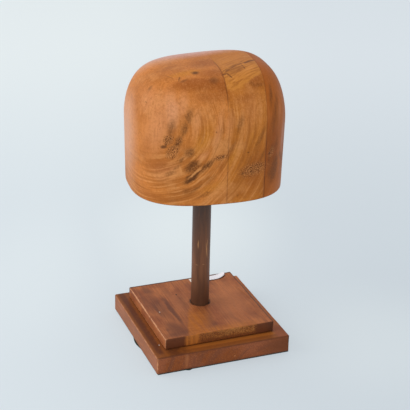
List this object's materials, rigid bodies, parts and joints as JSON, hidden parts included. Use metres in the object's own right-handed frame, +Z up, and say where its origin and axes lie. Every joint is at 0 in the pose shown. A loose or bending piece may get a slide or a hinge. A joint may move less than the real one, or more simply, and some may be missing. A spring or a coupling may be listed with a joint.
{
  "type": "hat block",
  "caption": "Wooden hat block of glued planks, an oval domed form that turns on a round post over a stepped square plinth, and lifts off it.",
  "frame": {"origin": "on the table, at the middle of the square plinth's underside", "axes": "+Z up along the post; +X along the plinth's front edge, close to the block's length; the plinth's front faces -Y"},
  "size_m": [0.195, 0.1834, 0.3696],
  "materials": {
    "block_left": "satin",
    "block_middle": "satin",
    "block_right": "satin",
    "post_wood": "satin",
    "upper_board": "satin",
    "lower_board": "satin",
    "baize": "matte",
    "screw_steel": "satin",
    "label_paper": "matte"
  },
  "bodies": {
    "plinth": {"baize_sheet": "baize", "lower_board": "lower_board", "upper_board": "upper_board", "plinth_screw_front_left": "screw_steel", "plinth_screw_front_right": "screw_steel", "plinth_screw_back_left": "screw_steel", "plinth_screw_back_right": "screw_steel", "paper_label": "label_paper"},
    "post": {"post": "post_wood"},
    "block": {"block_left_piece": "block_left", "block_middle_plank": "block_middle", "block_right_strip": "block_right"}
  },
  "joints": [
    {"name": "post_turn", "type": "hinge", "parent": "plinth", "child": "post", "pos_m": [0.0032, 0.0085, 0.0079], "axis": [0, 0, 1], "continuous": true},
    {"name": "block_lift", "type": "slide", "parent": "post", "child": "block", "axis": [0, 0, 1], "range_m": [0, 0.09]}
  ]
}
